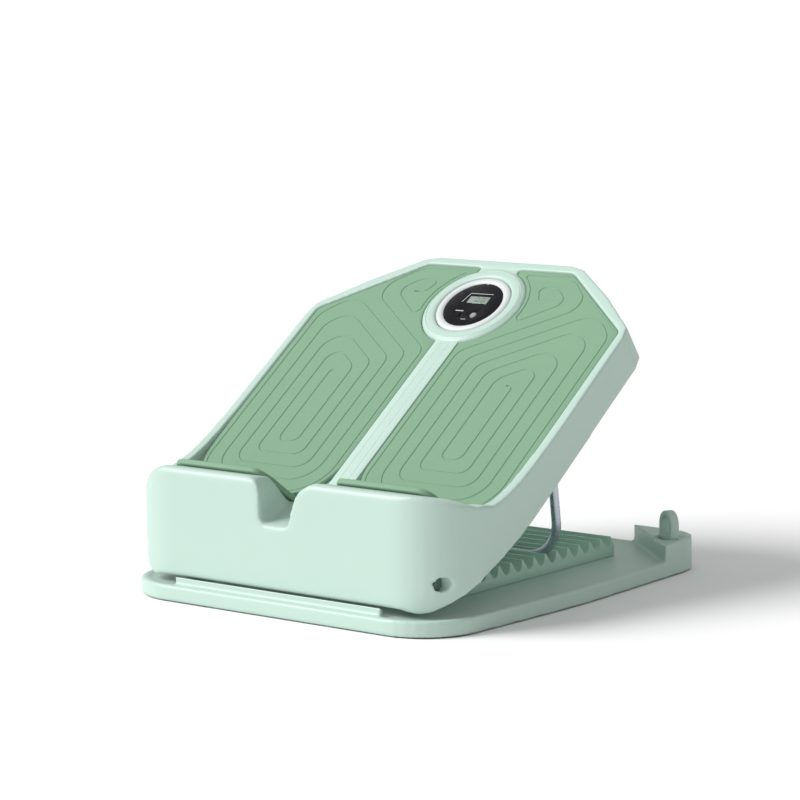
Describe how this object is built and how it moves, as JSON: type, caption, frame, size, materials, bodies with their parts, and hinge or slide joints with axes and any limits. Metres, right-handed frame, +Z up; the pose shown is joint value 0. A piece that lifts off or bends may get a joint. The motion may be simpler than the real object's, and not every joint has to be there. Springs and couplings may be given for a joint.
{
  "type": "slant board",
  "caption": "Folding calf-stretch board: a deck with soft foot pads and heel stops, hinged on a toothed base, held up by a wire prop, with a round counter.",
  "frame": {"origin": "centre of the base on the floor", "axes": "+Z up, +Y from the heel end toward the raised end, +X to the user's right"},
  "size_m": [0.357, 0.4, 0.2679],
  "materials": {
    "mint_abs": "fine satin texture",
    "sage_tpe": "matt, finely ribbed",
    "white_abs": "satin",
    "black_gloss": "polished",
    "lcd_window": "clear over a grey display",
    "button_grey": "matt",
    "zinc_steel": "bright zinc plate",
    "foot_rubber": "matt",
    "circuit_board": "satin",
    "bush_nylon": "satin"
  },
  "bodies": {
    "base": {"base_plate": "mint_abs", "tooth_rack": "mint_abs", "rack_screw_1": "zinc_steel", "rack_screw_2": "zinc_steel", "rack_screw_3": "zinc_steel", "rack_screw_4": "zinc_steel", "rubber_foot_1": "foot_rubber", "rubber_foot_2": "foot_rubber", "rubber_foot_3": "foot_rubber", "rubber_foot_4": "foot_rubber", "rubber_foot_5": "foot_rubber", "rubber_foot_6": "foot_rubber", "band_eye_left": "mint_abs", "band_eye_right": "mint_abs", "hinge_bush_left": "bush_nylon", "hinge_bush_right": "bush_nylon"},
    "deck": {"deck_shell": "mint_abs", "foot_pad_left": "sage_tpe", "foot_pad_right": "sage_tpe", "heel_pad_left": "sage_tpe", "heel_pad_right": "sage_tpe", "counter_housing": "white_abs", "counter_face": "black_gloss", "lcd_window": "lcd_window", "counter_board": "circuit_board", "coin_cell": "zinc_steel", "cell_holder": "black_gloss", "battery_cover": "mint_abs", "hinge_pin_left": "zinc_steel", "hinge_pin_right": "zinc_steel", "prop_clip_left": "mint_abs", "prop_clip_right": "mint_abs", "clip_screw_left_1": "zinc_steel", "clip_screw_left_2": "zinc_steel", "clip_screw_right_1": "zinc_steel", "clip_screw_right_2": "zinc_steel"},
    "prop": {"prop_wire": "zinc_steel"},
    "reset_key": {"reset_button": "button_grey"},
    "mode_key": {"mode_button": "button_grey"}
  },
  "joints": [
    {"name": "deck_tilt", "type": "hinge", "parent": "base", "child": "deck", "pos_m": [0, -0.17276, 0.04227], "axis": [1, 0, 0], "range_deg": [0, 50]},
    {"name": "prop_swing", "type": "hinge", "parent": "deck", "child": "prop", "pos_m": [0, 0.02122, 0.15607], "axis": [1, 0, 0], "range_deg": [-50, 0]},
    {"name": "reset_press", "type": "slide", "parent": "deck", "child": "reset_key", "axis": [0, 0.5807, -0.8141], "range_m": [0, 0.0008], "stiffness_N_per_m": 400},
    {"name": "mode_press", "type": "slide", "parent": "deck", "child": "mode_key", "axis": [0, 0.5807, -0.8141], "range_m": [0, 0.0008], "stiffness_N_per_m": 400}
  ],
  "couplings": [
    {"joint": "prop_swing", "follows": "deck_tilt", "ratio": -1}
  ]
}
